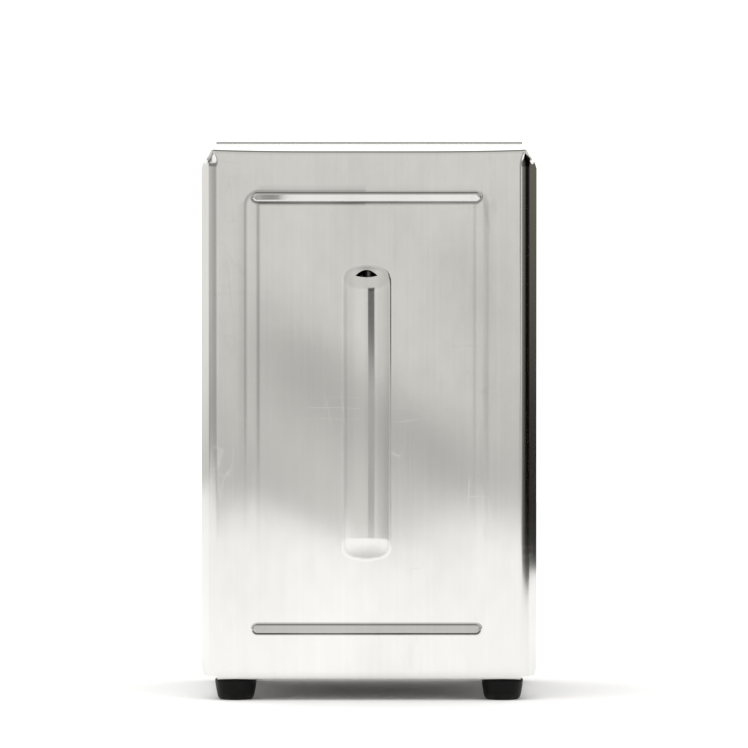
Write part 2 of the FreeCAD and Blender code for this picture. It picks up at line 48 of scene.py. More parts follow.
# ---------------------------------------------------------------- sizes, in metres
case_low_corner, case_high_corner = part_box("case_wrap")
CASE_TOP = case_high_corner.z
CASE_BOTTOM = case_low_corner.z
# The channel's full rise shapes its round back. It stands a little lower, to stay within the part's size.
CHANNEL_RISE = 3.0 * MM
CHANNEL_LOOK = 2.75 * MM
HALF_DEPTH = case_high_corner.y - CHANNEL_RISE
GAUGE = 0.8 * MM
BEND = 1.1 * MM
HALF_PANEL = 52.3 * MM
HALF_TOP = 54.1 * MM
FLANGE = 11.6 * MM
LIP_BEND = 1.0 * MM
LIP_FOLDS = [math.radians(40.5), math.radians(54.5), math.radians(71.3)]
LIP_FIRST_RUN = 4.25 * MM
LIP_SECOND_RUN = 8.1 * MM
LIP_HIGH = 185.6 * MM
LIP_ROOT_HIGH = 188.6 * MM
END_LIP_FOLD = math.radians(63.4)
END_LIP_RUN = 5.81 * MM
END_LIP_HALF = 45.0 * MM
LIP_CLIP = 2.4 * MM
BEAD_SIDE = 39.5 * MM
BEAD_LOW = 24.7 * MM
BEAD_HIGH = 173.7 * MM
BEAD_CORNER = 3.2 * MM
BEAD_RISE = 0.95 * MM
BEAD_LEAN_START = -36 * MM
BEAD_LEAN_FULL = -27 * MM
FRAME_RISE_SHARE = 0.05
FRAME_FADE_LOW = 30 * MM
FRAME_FADE_HIGH = 100 * MM
CHANNEL_HALF = 8.0 * MM
CHANNEL_LOW = 49.0 * MM
CHANNEL_HIGH = 150.0 * MM
SLOT_HALF = 3.8 * MM
SLOT_HEIGHT = 146.6 * MM
SLOT_OPEN = 1.3 * MM
SLOT_ABOVE = 1.5
SLOT_BELOW = 0.4
SLOT_BLEND = 3.2 * MM
SLIT = 0.03 * MM
TOP_SAG = 0.6 * MM
TOP_RIM = 0.5 * MM
EYE_ACROSS = 1.7 * MM
EYE_HIGH = 0.27
AIM_HIGH = 0.1127
EYE_AWAY = 3.5


# ---------------------------------------------------------------- node wiring
class Socket:
    """One output of a node. Arithmetic on it adds Math nodes to the same tree."""

    def __init__(self, bench, output):
        self.bench = bench
        self.output = output

    def math(self, operation, *others):
        return self.bench.math(operation, self, *others)

    def __add__(self, other):
        return self.math("ADD", other)

    def __radd__(self, other):
        return self.math("ADD", other)

    def __sub__(self, other):
        return self.math("SUBTRACT", other)

    def __rsub__(self, other):
        return self.bench.math("SUBTRACT", other, self)

    def __mul__(self, other):
        return self.math("MULTIPLY", other)

    def __rmul__(self, other):
        return self.math("MULTIPLY", other)

    def __truediv__(self, other):
        return self.math("DIVIDE", other)

    def __pow__(self, other):
        return self.math("POWER", other)

    def __neg__(self):
        return self.math("MULTIPLY", -1.0)

    def __abs__(self):
        return self.math("ABSOLUTE")

    def __gt__(self, other):
        return self.math("GREATER_THAN", other)

    def __lt__(self, other):
        return self.math("LESS_THAN", other)

    def least(self, other):
        return self.math("MINIMUM", other)

    def most(self, other):
        return self.math("MAXIMUM", other)

    def within(self, low, high):
        return self.most(low).least(high)

    def sine(self):
        return self.math("SINE")

    def cosine(self):
        return self.math("COSINE")

    def root(self):
        return self.math("SQRT")

    def sign(self):
        return self.math("SIGN")

    def step(self, start, end):
        """0 before start and 1 after end, turning over smoothly in between."""
        settings = {"interpolation_type": "SMOOTHSTEP"}
        feeds = {"Value": self, "From Min": start, "From Max": end}
        return self.bench.add("ShaderNodeMapRange", settings, feeds)

    def other(self, name):
        """Another output of the same node."""
        return Socket(self.bench, self.output.node.outputs[name])


class Bench:
    """A node tree while it is being wired."""

    def __init__(self, tree):
        self.tree = tree

    def add(self, kind, settings=None, feeds=None, output=0):
        """Adds a node, makes its settings, then feeds its sockets. Gives one of its outputs."""
        node = self.tree.nodes.new(kind)
        for name, value in (settings or {}).items():
            if name == "stops":
                set_stops(node.color_ramp, value)
            else:
                setattr(node, name, value)
        for name, value in (feeds or {}).items():
            socket = node.inputs[name]
            if isinstance(value, Socket):
                self.tree.links.new(value.output, socket)
            else:
                socket.default_value = value
        return Socket(self, node.outputs[output] if node.outputs else None)

    def math(self, operation, *values):
        return self.add("ShaderNodeMath", {"operation": operation}, dict(enumerate(values)))

    def mix(self, share, first, second):
        """A colour between two others."""
        feeds = {0: share, 6: first, 7: second}
        return self.add("ShaderNodeMix", {"data_type": "RGBA"}, feeds, output=2)

    def vector(self, x, y, z):
        return self.add("ShaderNodeCombineXYZ", None, {"X": x, "Y": y, "Z": z})


def set_stops(ramp, stops):
    """Sets a ramp from (place, brightness or colour) pairs."""
    ramp.interpolation = "EASE"
    while len(ramp.elements) > 1:
        ramp.elements.remove(ramp.elements[-1])
    for index, (place, shade) in enumerate(stops):
        element = ramp.elements[0] if index == 0 else ramp.elements.new(place)
        element.position = place
        element.color = shade if isinstance(shade, tuple) else (shade, shade, shade, 1)


def new_tree(name, sizes):
    """A geometry tree with one named input for each size. Gives its bench and those inputs."""
    tree = bpy.data.node_groups.new(name, "GeometryNodeTree")
    tree.interface.new_socket("Geometry", in_out="INPUT", socket_type="NodeSocketGeometry")
    for label in sizes:
        tree.interface.new_socket(label, in_out="INPUT", socket_type="NodeSocketFloat")
    tree.interface.new_socket("Geometry", in_out="OUTPUT", socket_type="NodeSocketGeometry")
    bench = Bench(tree)
    start = bench.add("NodeGroupInput")
    return bench, start, {label: start.other(label) for label in sizes}


def close_tree(bench, geometry, material):
    """Realizes the tree's instances, gives them their material and ends the tree."""
    real = bench.add("GeometryNodeRealizeInstances", None, {0: geometry})
    feeds = {"Geometry": real, "Material": material}
    finished = bench.add("GeometryNodeSetMaterial", None, feeds)
    bench.add("NodeGroupOutput", None, {0: finished})


def made_by_tree(name, mesh, bench, sizes, wall):
    """Runs a geometry tree on a mesh, thickens it, and gives the result as a plain mesh object."""
    raw = bpy.data.objects.new(name + "_raw", mesh)
    bpy.context.scene.collection.objects.link(raw)
    maker = raw.modifiers.new("maker", "NODES")
    maker.node_group = bench.tree
    for item in bench.tree.interface.items_tree:
        if item.in_out == "INPUT" and item.name in sizes:
            maker[item.identifier] = float(sizes[item.name])
    sheet = raw.modifiers.new("wall", "SOLIDIFY")
    sheet.thickness = wall
    sheet.offset = -1
    sheet.use_even_offset = True
    evaluated = raw.evaluated_get(bpy.context.evaluated_depsgraph_get())
    plain = bpy.data.meshes.new_from_object(evaluated)
    bpy.data.objects.remove(raw)
    plain.name = name
    plain.shade_smooth()
    plain.set_sharp_from_angle(angle=math.radians(60))
    piece = bpy.data.objects.new(name, plain)
    bpy.context.scene.collection.objects.link(piece)
    return piece


# ---------------------------------------------------------------- materials
def new_finish(name):
    """An empty material and the bench to wire it on, with its Object coordinates."""
    material = bpy.data.materials.new(name)
    material.use_nodes = True
    material.node_tree.nodes.clear()
    bench = Bench(material.node_tree)
    place = bench.add("ShaderNodeTexCoord", None, None, output="Object")
    return material, bench, place


def close_finish(bench, colour, metallic, roughness, normal, constants=None):
    """Feeds a Principled shader and ends the material."""
    feeds = {"Base Color": colour, "Metallic": metallic, "Roughness": roughness, "Normal": normal}
    feeds.update(constants or {})
    shader = bench.add("ShaderNodeBsdfPrincipled", None, feeds)
    bench.add("ShaderNodeOutputMaterial", None, {"Surface": shader})


def stretched_noise(bench, place, scales, detail=2.0, turn=(0, 0, 0)):
    """Noise with its own scale along each axis, in cells for each metre."""
    feeds = {"Vector": place, "Rotation": turn, "Scale": scales}
    spread = bench.add("ShaderNodeMapping", {"vector_type": "POINT"}, feeds)
    return bench.add("ShaderNodeTexNoise", None, {"Vector": spread, "Scale": 1.0, "Detail": detail})


def hairline(noise, width):
    """1 along the thin line where a noise crosses its middle value, falling to 0 beside it."""
    return 1 - (abs(noise - 0.5) / width).within(0, 1)


def polished_steel(name, fine_axis, base=(0.78, 0.775, 0.76, 1), dull=0.085, crease_shaded=False):
    """Satin stainless sheet: fine straight grain, faint smears and a few handling scratches.

    A creased sheet also gets painted shade: its colour is darkened wherever the crease mask is above 0,
    standing in for the shade in the creases along its beads and channel."""
    material, bench, place = new_finish(name)
    grain_scales = [26, 26, 26]
    grain_scales[fine_axis] = 5200
    grain = stretched_noise(bench, place, grain_scales, 3.0)
    broad_scales = [9, 9, 9]
    broad_scales[fine_axis] = 900
    broad = stretched_noise(bench, place, broad_scales, 2.0)
    smear = stretched_noise(bench, place, (34, 34, 21), 4.0)
    mottle = stretched_noise(bench, place, (190, 190, 120), 3.0)
    first = stretched_noise(bench, place, (70, 70, 11), 1.0, (0.1, 0.24, 0.1))
    second = stretched_noise(bench, place, (60, 60, 8), 1.0, (-0.2, -0.16, 0.3))
    third = stretched_noise(bench, place, (9, 9, 85), 1.0, (0.12, 0.1, 0.0))
    kept = stretched_noise(bench, place, (55, 55, 40), 2.0).step(0.56, 0.66)
    scratches = hairline(first, 0.006).most(hairline(second, 0.006))
    scratches = scratches.most(hairline(third, 0.005)) * kept
    rough = dull + (smear - 0.5) * 0.05 + (grain - 0.5) * 0.03 + (mottle - 0.5) * 0.02
    rough = rough + scratches * 0.05
    dulled = tuple(c * 0.84 for c in base[:3]) + (1,)
    shade = (smear - 0.5) * 0.8 + (broad - 0.5) * 0.35 + (mottle - 0.5) * 0.4 + 0.35
    colour = bench.mix(shade.within(0, 1), base, dulled)
    if crease_shaded:
        # Painted shade: near-black colour and a little more roughness along the beads' and channel's creases,
        # from the sheet's crease mask.
        named = {"attribute_name": "crease_shade"}
        crease_shade = bench.add("ShaderNodeAttribute", named, None, output="Fac")
        painted_shade = crease_shade * (0.65 + smear * 0.5)
        painted_shade_colour = (0.045, 0.043, 0.04, 1)
        colour = bench.mix(painted_shade.within(0, 1), colour, painted_shade_colour)
        rough = rough + crease_shade * 0.1
    height = grain * 0.12 + broad * 0.25 + mottle * 0.25 - scratches * 0.6
    feeds = {"Strength": 0.1, "Distance": 0.00002, "Height": height}
    bump = bench.add("ShaderNodeBump", None, feeds)
    close_finish(bench, colour, 1.0, rough.within(0.05, 0.3), bump)
    return material


def spring_wire(name, base, dull):
    """Drawn wire or rod: bright, with fine draw lines and darker patches of old oil."""
    material, bench, place = new_finish(name)
    lines = stretched_noise(bench, place, (2400, 2400, 200), 2.0)
    patches = stretched_noise(bench, place, (260, 260, 150), 3.0)
    oil = patches.step(0.52, 0.7)
    colour = bench.mix(oil, base, tuple(c * 0.55 for c in base[:3]) + (1,))
    rough = dull + (lines - 0.5) * 0.12 + oil * 0.12
    feeds = {"Strength": 0.25, "Distance": 0.00002, "Height": lines}
    bump = bench.add("ShaderNodeBump", None, feeds)
    close_finish(bench, colour, 1.0, rough.within(0.08, 0.6), bump)
    return material


def moulded_rubber(name):
    """Black moulded rubber: a fine dull skin, greyer with dust toward the floor."""
    material, bench, place = new_finish(name)
    skin = stretched_noise(bench, place, (1500, 1500, 1500), 4.0)
    cloud = stretched_noise(bench, place, (150, 150, 110), 3.0)
    height = bench.add("ShaderNodeSeparateXYZ", None, {0: place}, output="Z")
    dust = (1 - (height / (2.2 * MM))).within(0, 1) * cloud.step(0.35, 0.7)
    dark = bench.mix(cloud, (0.002, 0.002, 0.002, 1), (0.005, 0.005, 0.005, 1))
    colour = bench.mix(dust * 0.45, dark, (0.07, 0.066, 0.06, 1))
    rough = 0.4 + (cloud - 0.5) * 0.25 + dust * 0.2
    feeds = {"Strength": 0.35, "Distance": 0.0001, "Height": skin}
    bump = bench.add("ShaderNodeBump", None, feeds)
    close_finish(bench, colour, 0.0, rough, bump, {"Specular IOR Level": 0.12})
    return material


def floor_paint():
    """The pale matt floor."""
    material, bench, place = new_finish("floor_paint")
    cloud = stretched_noise(bench, place, (6, 6, 6), 3.0)
    colour = bench.mix(cloud, (0.9, 0.9, 0.9, 1), (0.87, 0.87, 0.87, 1))
    feeds = {"Strength": 0.02, "Distance": 0.001, "Height": cloud}
    bump = bench.add("ShaderNodeBump", None, feeds)
    close_finish(bench, colour, 0.0, 0.75, bump, {"Specular IOR Level": 0.1})
    return material


# The case's steel carries painted shade along the creases of its beads and channel.
case_steel = polished_steel("case_steel", 0, crease_shaded=True)
press_steel = polished_steel("press_steel", 1)
tray_steel = polished_steel("tray_steel", 0, dull=0.14)
spring_steel = spring_wire("spring_steel", (0.5, 0.5, 0.49, 1), 0.26)
rod_steel = spring_wire("rod_steel", (0.2, 0.195, 0.185, 1), 0.38)
rivet_steel = spring_wire("rivet_steel", (0.6, 0.6, 0.6, 1), 0.24)
foot_rubber = moulded_rubber("foot_rubber")


# ---------------------------------------------------------------- the folded case
def stations(*runs):
    """Places along a line, from runs of (start, end, step) that follow one another."""
    places = [runs[0][0]]
    for start, end, step in runs:
        count = max(1, round((end - start) / step))
        places += [start + (end - start) * k / count for k in range(1, count + 1)]
    return places


def both_ways(places):
    """The same places on both sides of zero, where the list starts."""
    return [-p for p in reversed(places[1:])] + places


STRIP_BEND = HALF_DEPTH - BEND
STRIP_PANEL = STRIP_BEND + BEND * math.pi / 2
PANEL_HEIGHT = CASE_TOP - CASE_BOTTOM - 2 * BEND
STRIP_LOW_BEND = STRIP_PANEL + PANEL_HEIGHT
STRIP_FLANGE = STRIP_LOW_BEND + BEND * math.pi / 2
STRIP_END = STRIP_FLANGE + FLANGE


def along_strip(height):
    """How far along the strip, from the middle of the top, a height on the panel is."""
    return STRIP_PANEL + CASE_TOP - BEND - height


def blank_sheet():
    """The flat blank before pressing and folding: a grid, closest where the sheet will bend."""
    bead = 3.4 * MM
    past = bead * 0.85
    lip_fold = HALF_PANEL + LIP_FIRST_RUN
    across = stations(
        (0, CHANNEL_HALF + 1.2 * MM, 0.55 * MM),
        (CHANNEL_HALF + 1.2 * MM, BEAD_SIDE - bead, 3.2 * MM),
        (BEAD_SIDE - bead, BEAD_SIDE + past, 0.3 * MM),
        (BEAD_SIDE + past, HALF_PANEL - 1.2 * MM, 2.0 * MM),
        (HALF_PANEL - 1.2 * MM, HALF_PANEL, 0.3 * MM),
        (HALF_PANEL, HALF_PANEL + 1.2 * MM, 0.3 * MM),
        (HALF_PANEL + 1.2 * MM, lip_fold - 1.0 * MM, 1.0 * MM),
        (lip_fold - 1.0 * MM, lip_fold + 1.0 * MM, 0.4 * MM),
        (lip_fold + 1.0 * MM, lip_fold + LIP_SECOND_RUN, 1.2 * MM),
    )
    slit = along_strip(SLOT_HEIGHT)
    along = stations(
        (0, END_LIP_HALF, 5.0 * MM),
        (END_LIP_HALF, STRIP_BEND, 0.4 * MM),
        (STRIP_BEND, STRIP_PANEL, 0.25 * MM),
        (STRIP_PANEL, along_strip(LIP_ROOT_HIGH), 0.8 * MM),
        (along_strip(LIP_ROOT_HIGH), along_strip(LIP_HIGH), 1.5 * MM),
        (along_strip(LIP_HIGH), along_strip(BEAD_HIGH + past), 2.0 * MM),
        (along_strip(BEAD_HIGH + past), along_strip(BEAD_HIGH - bead), 0.25 * MM),
        (along_strip(BEAD_HIGH - bead), along_strip(CHANNEL_HIGH + 1 * MM), 3.0 * MM),
        (along_strip(CHANNEL_HIGH + 1 * MM), slit - SLIT, 0.45 * MM),
        (slit - SLIT, slit + SLIT, 2 * SLIT),
        (slit + SLIT, along_strip(CHANNEL_HIGH - 9 * MM), 0.5 * MM),
        (along_strip(CHANNEL_HIGH - 9 * MM), along_strip(CHANNEL_LOW + 8 * MM), 3.6 * MM),
        (along_strip(CHANNEL_LOW + 8 * MM), along_strip(CHANNEL_LOW - 1 * MM), 0.6 * MM),
        (along_strip(CHANNEL_LOW - 1 * MM), along_strip(BEAD_LOW + bead), 3.0 * MM),
        (along_strip(BEAD_LOW + bead), along_strip(BEAD_LOW - past), 0.25 * MM),
        (along_strip(BEAD_LOW - past), STRIP_LOW_BEND, 2.0 * MM),
        (STRIP_LOW_BEND, STRIP_FLANGE, 0.3 * MM),
        (STRIP_FLANGE, STRIP_END, 4.0 * MM),
    )
    columns = both_ways(across)
    rows = both_ways(along)
    points = [(x, y, 0) for y in rows for x in columns]
    wide = len(columns)
    faces = []
    for r in range(len(rows) - 1):
        for c in range(wide - 1):
            corner = r * wide + c
            faces.append((corner, corner + 1, corner + wide + 1, corner + wide))
    mesh = bpy.data.meshes.new("blank_sheet")
    mesh.from_pydata(points, [], faces)
    return mesh


def waste_cut(bench, start, across, along):
    """Cuts the corner notches and the slot's slit out of the blank."""
    beyond = abs(across) > HALF_PANEL
    on_top = abs(along) < END_LIP_HALF
    at_root = abs(across) < HALF_PANEL + LIP_FIRST_RUN
    below_root = abs(along) > along_strip(LIP_ROOT_HIGH)
    below_top = (abs(along) > along_strip(LIP_HIGH)).most(below_root * at_root)
    on_panel = below_top * (abs(along) < STRIP_LOW_BEND)
    notch = beyond * (1 - on_top) * (1 - on_panel)
    slit = (abs(along + along_strip(SLOT_HEIGHT)) < SLIT) * (abs(across) < SLOT_HALF)
    feeds = {"Geometry": start, "Selection": notch.most(slit) > 0.5}
    return bench.add("GeometryNodeDeleteGeometry", {"domain": "FACE"}, feeds)


def level_beads(size, across, up):
    """The two strong level beads, which lean toward the panel's middle: share of rise, share before the lean,
    and how far a point is from the bead's spine and from its line."""
    middle = (BEAD_HIGH + BEAD_LOW) / 2
    past_end = (abs(across) - size["Bead Reach"]).most(0)
    outward = abs(up - middle) - (BEAD_HIGH - BEAD_LOW) / 2
    apart = (past_end ** 2 + outward ** 2).root()
    share = (size["Bead Width"] / 2 - apart).step(0, size["Bead Edge"])
    leaning = across.step(BEAD_LEAN_START, BEAD_LEAN_FULL).most(up < middle)
    crest = 0.85 + outward * size["Bead Lean"] * (0.2 + leaning * 0.8)
    return share * crest, share, apart, outward


def frame_ring(across, up):
    """How far a point is outside the spine of the frame that joins the level beads."""
    out_x = abs(across) - (BEAD_SIDE - BEAD_CORNER)
    half_tall = (BEAD_HIGH - BEAD_LOW) / 2
    out_z = abs(up - (BEAD_HIGH + BEAD_LOW) / 2) - (half_tall - BEAD_CORNER)
    beyond = (out_x.most(0) ** 2 + out_z.most(0) ** 2).root()
    return beyond + out_x.most(out_z).least(0) - BEAD_CORNER


def bead_height(size, across, up):
    """The pressed beads' height, and how much painted shade darkens their lower edges and the faint frame's
    edges.
    """
    middle = (BEAD_HIGH + BEAD_LOW) / 2
    half = size["Bead Width"] / 2
    level_bead, level_share, apart, outward = level_beads(size, across, up)
    ring = frame_ring(across, up)
    frame_share = (half * 1.3 - abs(ring)).step(0, half * 1.3)
    frame_bead = frame_share * (up.step(FRAME_FADE_LOW, FRAME_FADE_HIGH) * FRAME_RISE_SHARE)
    faces_up = outward * (up - middle).sign()
    # Painted shade: a dark line along each level bead's edge, mostly its lower edge, and a light shading over
    # the bead, heavier on the upper bead.
    from_edge = abs(apart - half + size["Bead Edge"] * (0.6 - (up > middle) * 0.35))
    line = (1.3 - from_edge / (0.5 * MM)).within(0, 1)
    bead_shade = level_share * (0.05 + (up > middle) * 0.12)
    crease_shade = (line * (1 - faces_up.step(-0.9 * MM, 0.5 * MM) * 0.9)).most(bead_shade)
    # Painted shade: a soft dark line along the faint frame's edges, from about 50 mm up, stronger on the
    # left, which draws the nearly flat frame bead.
    ring_line = (1 - abs(abs(ring) - half * 1.1) / (0.9 * MM)).within(0, 1)
    soft_crease_shade = ring_line * (1 - level_share.step(0, 0.1)) * up.step(50 * MM, 110 * MM)
    soft_crease_shade = soft_crease_shade * (0.16 + (across < 0) * 0.26)
    return size["Bead Rise"] * level_bead.most(frame_bead), crease_shade + soft_crease_shade


def channel_height(size, across, up):
    """The height of the round-backed channel that clears the spring rod, eased down at both ends,
    and how much painted shade darkens its foot and its lower end."""
    half = CHANNEL_HALF
    radius = (half ** 2 + CHANNEL_RISE ** 2) / (2 * CHANNEL_RISE)
    reach = abs(across).least(half)
    round_back = (radius ** 2 - reach ** 2).root() - (radius - CHANNEL_RISE)
    upper = 1 - ((CHANNEL_HIGH - up) / size["Channel End"]).within(0, 1)
    lower = 1 - ((up - CHANNEL_LOW) / (size["Channel End"] * 0.8)).within(0, 1)
    full = round_back / CHANNEL_RISE * (1 - upper ** 2) * (1 - lower ** 2)
    rounding = (reach / half) ** 2 * (upper ** 4 + lower ** 4) * 0.5
    full = (full - rounding).most(0)
    # Painted shade along the channel's foot and over its lower end.
    foot_line = full.step(0, 0.05) * (1 - full.step(0.05, 0.3)) * 0.15
    crease_shade = foot_line + lower * full.step(0, 0.2) * 0.12
    foot = size["Channel Foot"]
    eased = ((full ** 2 + foot ** 2).root() - foot) / ((foot ** 2 + 1).root() - foot)
    return size["Channel Rise"] * eased, crease_shade


def sheet_slack(size, across, up):
    """The slow waviness and slight twist that thin sheet keeps between its folds."""
    edge = 1 - (across / HALF_PANEL) ** 2
    ends = 1 - ((up - 99 * MM) / (92 * MM)) ** 2
    twist = (across / HALF_PANEL) * ((up - 66 * MM) / (60 * MM)).within(-1, 1)
    wave = (across * 85 + up * 31).sine() * (up * 47 - across * 22).sine()
    soft = edge.most(0).root() * ends.most(0).root()
    return size["Slack"] * soft * (wave * 0.35 - twist * size["Twist"])


def fold_run(flat, bends):
    """Follows a fold's section: how far out and how far in a point at this flat length is.

    Each bend is (where it starts, its radius, angle before, angle after).
    The sheet is straight between them."""
    out = flat.least(bends[0][0])
    back = out * 0
    for number, (start, radius, before, after) in enumerate(bends):
        turned = ((flat - start) / radius).within(0, after - before) + before
        out = out + radius * (turned.sine() - math.sin(before))
        back = back + radius * (math.cos(before) - turned.cosine())
        end = start + radius * (after - before)
        following = bends[number + 1][0] if number + 1 < len(bends) else 1.0
        straight = (flat - end).within(0, following - end)
        out = out + math.cos(after) * straight
        back = back + math.sin(after) * straight
    return out, back


def side_bends():
    """The side lip's section: a tight fold, a slow curve, and a second tight fold."""
    first, slow, last = LIP_FOLDS
    start = HALF_PANEL - LIP_BEND * math.tan(first / 2)
    slow_start = start + LIP_BEND * first
    slow_run = LIP_FIRST_RUN - LIP_BEND * (math.tan(first / 2) + math.tan((last - slow) / 2))
    slow_end = slow_start + slow_run
    return [
        (start, LIP_BEND, 0, first),
        (slow_start, slow_run / (slow - first), first, slow),
        (slow_end, LIP_BEND, slow, last),
    ]


def across_fold(across, top_share):
    """Where the side folds take a point: how far across, and how far in from its face."""
    beyond = (abs(across) - HALF_PANEL).most(0)
    flat = abs(across).least(HALF_PANEL)
    widen = top_share * (HALF_TOP - HALF_PANEL) * flat.step(HALF_PANEL * 0.8, HALF_PANEL)
    panel_out, panel_back = fold_run(flat + beyond, side_bends())
    end_lip = beyond * (END_LIP_RUN / (LIP_FIRST_RUN + LIP_SECOND_RUN))
    end_start = HALF_PANEL - LIP_BEND * math.tan(END_LIP_FOLD / 2)
    top_out, top_back = fold_run(flat + end_lip, [(end_start, LIP_BEND, 0, END_LIP_FOLD)])
    is_top = top_share > 0.5
    out = panel_out + (top_out - panel_out) * is_top + widen
    back = panel_back + (top_back - panel_back) * is_top
    return out * across.sign(), back


def fold_case(along, proud):
    """Wraps the strip round the case. proud is how far a point stands out of its face."""
    length = abs(along)
    quarter = BEND * math.pi / 2
    turn = (length - STRIP_BEND).within(0, quarter) / BEND
    low_turn = (length - STRIP_LOW_BEND).within(0, quarter) / BEND
    down = (length - STRIP_PANEL).within(0, PANEL_HEIGHT)
    inward = (length - STRIP_FLANGE).most(0)
    angle = turn + low_turn
    y = length.least(STRIP_BEND) + BEND * turn.sine() - BEND * (1 - low_turn.cosine()) - inward
    z = CASE_TOP - BEND * (1 - turn.cosine()) - down - BEND * low_turn.sine()
    y = y + proud * angle.sine()
    z = z + proud * angle.cosine()
    return y * along.sign(), z


def open_slot(size, across, along):
    """Spreads the slit apart into the arched slot, mostly upward. Gives the new place along the strip."""
    from_slit = along + along_strip(SLOT_HEIGHT)
    lens = (1 - (across / SLOT_HALF) ** 2).most(0)
    arch = SLOT_BELOW + (from_slit > 0) * (SLOT_ABOVE - SLOT_BELOW)
    near = 1 - (abs(from_slit) / SLOT_BLEND).within(0, 1)
    return along + size["Slot Open"] * lens * arch * near * from_slit.sign()


def clip_lips(across, along, top_share):
    """Draws the lips' outer corners in, as if clipped. Gives the new place along the strip."""
    length = abs(along)
    to_tip = abs(across) - HALF_PANEL - LIP_FIRST_RUN - LIP_SECOND_RUN + LIP_CLIP
    lip_end = (to_tip / LIP_CLIP).within(0, 1)
    lip_middle = (along_strip(LIP_HIGH) + STRIP_LOW_BEND) / 2
    lip_half = (STRIP_LOW_BEND - along_strip(LIP_HIGH)) / 2
    clip_panel = 1 - lip_end * (LIP_CLIP / lip_half)
    clip_top = 1 - lip_end * (LIP_CLIP * 0.8 / END_LIP_HALF)
    clipped_panel = (length - lip_middle) * clip_panel + lip_middle
    clipped = clipped_panel + (length * clip_top - clipped_panel) * (top_share > 0.5)
    return clipped * along.sign()


def settle_top(size, x, y, z):
    """Lets the top sag toward the front, and drops all of it but the rear rim."""
    near_edge = ((abs(y) - HALF_DEPTH * 0.2) / (HALF_DEPTH * 0.8)).within(0, 1) ** 2
    on_top = (z - (CASE_TOP - 24 * MM)).step(0, 22 * MM)
    dip = (1 - (x / HALF_TOP) ** 4).most(0) * near_edge * on_top
    z = z - size["Top Sag"] * dip * (y < 0)
    off_rim = 1 - (y - HALF_DEPTH + 2.6 * MM).step(0, 1.0 * MM)
    return z - size["Top Rim"] * off_rim * (z - (CASE_TOP - 8 * MM)).step(0, 7.5 * MM)


def case_tree(material, names):
    """Presses the blank's bead and channel, turns its lips, then folds it into the case."""
    bench, start, size = new_tree("press_and_fold", names)
    position = bench.add("GeometryNodeInputPosition")
    across = bench.add("ShaderNodeSeparateXYZ", None, {0: position})
    along = across.other("Y")
    trimmed = waste_cut(bench, start, across, along)
    along = open_slot(size, across, along)
    length = abs(along)
    up = STRIP_PANEL + CASE_TOP - BEND - length
    on_panel = (length - STRIP_BEND).step(0, BEND * 1.2)
    bead, bead_crease_shade = bead_height(size, across, up)
    channel, channel_crease_shade = channel_height(size, across, up)
    press = bead + channel + sheet_slack(size, across, up)
    top_share = 1 - (length - STRIP_BEND).step(0, along_strip(LIP_HIGH) - STRIP_BEND)
    x, back = across_fold(across, top_share)
    x = x - size["Press Shift"] * on_panel * (1 - abs(x).step(44 * MM, 51.5 * MM))
    along = clip_lips(across, along, top_share)
    y, z = fold_case(along, press * on_panel - back)
    placed = bench.vector(x, y, settle_top(size, x, y, z))
    # The painted-shade mask of the beads' and channel's creases goes with the sheet as a point attribute, for
    # the steel's colour.
    feeds = {"Geometry": trimmed, "Name": "crease_shade", "Value": bead_crease_shade.most(channel_crease_shade)}
    kind = {"data_type": "FLOAT", "domain": "POINT"}
    marked = bench.add("GeometryNodeStoreNamedAttribute", kind, feeds)
    feeds = {"Geometry": marked, "Position": placed}
    moved = bench.add("GeometryNodeSetPosition", None, feeds)
    close_tree(bench, moved, material)
    return bench


def case_shell():
    """The sheet that is both closed panels, the top and all their lips."""
    sizes = {
        "Bead Width": 4.1 * MM,
        "Bead Reach": 37.6 * MM,
        "Bead Rise": BEAD_RISE,
        "Bead Edge": 0.9 * MM,
        "Bead Lean": 92.0,
        "Press Shift": 0.9 * MM,
        "Channel Rise": CHANNEL_LOOK,
        "Channel End": 8.5 * MM,
        "Channel Foot": 0.05,
        "Slot Open": SLOT_OPEN,
        "Slack": 0.35 * MM,
        "Twist": 0.5,
        "Top Sag": TOP_SAG,
        "Top Rim": TOP_RIM,
    }
    pressed = case_tree(case_steel, list(sizes))
    piece = made_by_tree("case_shell", blank_sheet(), pressed, sizes, GAUGE)
    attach(piece, "case")
    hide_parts("case_wrap")


case_shell()


# ---------------------------------------------------------------- feet
def foot_outline(base, top):
    """Points down one side of a foot, (radius, height), from the case round to its recess."""
    return [
        (4.2 * MM, top), (6.9 * MM, top), (7.15 * MM, top - 0.25 * MM), (7.15 * MM, top - 1.0 * MM),
        (6.95 * MM, top - 2.6 * MM), (6.6 * MM, base + 2.6 * MM), (6.3 * MM, base + 1.3 * MM),
        (5.9 * MM, base + 0.45 * MM), (5.2 * MM, base + 0.08 * MM), (4.6 * MM, base),
        (4.15 * MM, base + 0.12 * MM), (4.0 * MM, base + 0.6 * MM), (4.0 * MM, base + 4.2 * MM),
        (2.6 * MM, base + 4.4 * MM),
    ]


